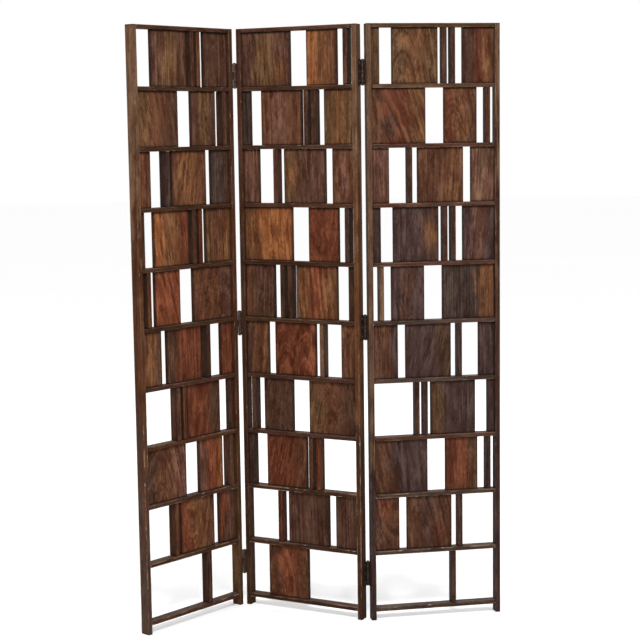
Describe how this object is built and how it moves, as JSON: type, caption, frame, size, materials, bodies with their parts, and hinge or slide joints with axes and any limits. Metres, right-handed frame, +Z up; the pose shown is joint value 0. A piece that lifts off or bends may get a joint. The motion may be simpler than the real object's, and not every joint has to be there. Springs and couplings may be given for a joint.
{
  "type": "folding screen",
  "caption": "Free-standing hinged room divider in dark hardwood, with open rows of upright boards, bars and gaps between slim rails, folded in a zig-zag",
  "frame": {"origin": "on the floor, under the middle of the standing screen's box", "axes": "+Z up, +X along the standing screen's width, the front faces -Y"},
  "size_m": [1.1108, 0.3408, 1.829],
  "materials": {
    "frame_wood": "dark brown hardwood, oiled, low sheen",
    "board_wood": "reddish brown hardwood with strong grain, oiled, low sheen",
    "hinge_metal": "dark aged steel, slightly worn on the barrel"
  },
  "bodies": {
    "middle_panel": {"middle_left_stile": "frame_wood", "middle_right_stile": "frame_wood", "middle_top_rail": "frame_wood", "middle_row_1": "board_wood", "middle_row_2": "board_wood", "middle_row_3": "board_wood", "middle_row_4": "board_wood", "middle_row_5": "board_wood", "middle_row_6": "board_wood", "middle_row_7": "board_wood", "middle_row_8": "board_wood", "middle_row_9": "board_wood", "middle_row_10": "board_wood", "left_hinge_low_leaf_a": "hinge_metal", "left_hinge_low_pin": "hinge_metal", "left_hinge_mid_leaf_a": "hinge_metal", "left_hinge_mid_pin": "hinge_metal", "left_hinge_top_leaf_a": "hinge_metal", "left_hinge_top_pin": "hinge_metal", "right_hinge_low_leaf_a": "hinge_metal", "right_hinge_low_pin": "hinge_metal", "right_hinge_mid_leaf_a": "hinge_metal", "right_hinge_mid_pin": "hinge_metal", "right_hinge_top_leaf_a": "hinge_metal", "right_hinge_top_pin": "hinge_metal"},
    "left_panel": {"left_left_stile": "frame_wood", "left_right_stile": "frame_wood", "left_top_rail": "frame_wood", "left_row_1": "board_wood", "left_row_2": "board_wood", "left_row_3": "board_wood", "left_row_4": "board_wood", "left_row_5": "board_wood", "left_row_6": "board_wood", "left_row_7": "board_wood", "left_row_8": "board_wood", "left_row_9": "board_wood", "left_row_10": "board_wood", "left_hinge_low_leaf_b": "hinge_metal", "left_hinge_mid_leaf_b": "hinge_metal", "left_hinge_top_leaf_b": "hinge_metal"},
    "right_panel": {"right_left_stile": "frame_wood", "right_right_stile": "frame_wood", "right_top_rail": "frame_wood", "right_row_1": "board_wood", "right_row_2": "board_wood", "right_row_3": "board_wood", "right_row_4": "board_wood", "right_row_5": "board_wood", "right_row_6": "board_wood", "right_row_7": "board_wood", "right_row_8": "board_wood", "right_row_9": "board_wood", "right_row_10": "board_wood", "right_hinge_low_leaf_b": "hinge_metal", "right_hinge_mid_leaf_b": "hinge_metal", "right_hinge_top_leaf_b": "hinge_metal"}
  },
  "joints": [
    {"name": "left_fold", "type": "hinge", "parent": "middle_panel", "child": "left_panel", "pos_m": [-0.25366, 0.13996, 0.917], "axis": [0, 0, 1], "range_deg": [-76.3, 103.7]},
    {"name": "right_fold", "type": "hinge", "parent": "middle_panel", "child": "right_panel", "pos_m": [0.1387, -0.01807, 0.917], "axis": [0, 0, 1], "range_deg": [-37.8, 142.2]}
  ]
}
